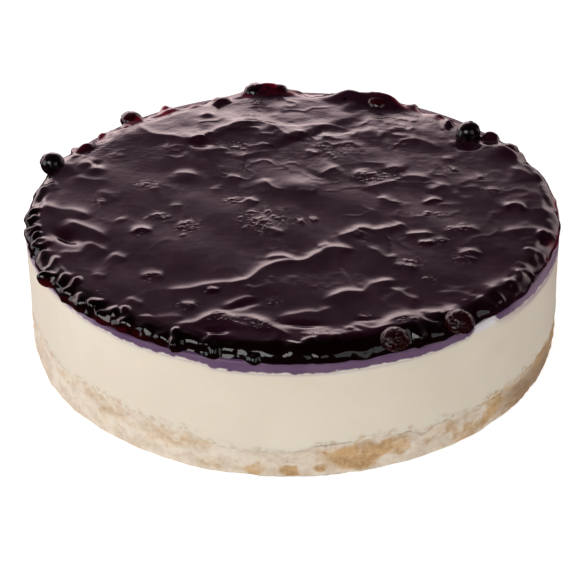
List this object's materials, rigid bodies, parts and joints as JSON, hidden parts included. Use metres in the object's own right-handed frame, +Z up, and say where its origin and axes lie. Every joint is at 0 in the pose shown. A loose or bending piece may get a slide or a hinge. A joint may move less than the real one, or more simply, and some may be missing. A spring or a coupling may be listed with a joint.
{
  "type": "baked cheesecake",
  "caption": "Whole round baked cheesecake: crumb base, tall pale cream filling, a fruit-stained layer under a thick glossy dark berry topping with whole berries at its edge.",
  "frame": {"origin": "the cake's axis at the flat bottom face of the crumb base", "axes": "+Z up along the cake's axis, -Y towards the side that the picture shows"},
  "size_m": [0.234, 0.2341, 0.0649],
  "materials": {
    "crumb_base": "dry biscuit crumb, golden brown, partly smeared pale with cream",
    "cheese_filling": "smooth pale ivory cheese filling, satin and slightly translucent",
    "stained_layer": "cream stained purple by fruit juice, satin, uneven",
    "berry_topping": "near black berry topping, wet gloss at the edge, satin on the top, red where it is thin",
    "berry": "glazed dark berry skin, wet gloss"
  },
  "bodies": {
    "root": {"crumb_base": "crumb_base", "cheese_filling": "cheese_filling", "stained_layer": "stained_layer", "berry_topping": "berry_topping", "berry_whole_right": "berry", "berry_left_edge": "berry", "berry_back_left": "berry", "berry_back_right": "berry", "berry_back_dark": "berry", "berry_back_red": "berry", "berry_right_red": "berry", "berry_left_peak": "berry", "berry_front_right": "berry", "berry_front_brown": "berry"}
  },
  "joints": []
}
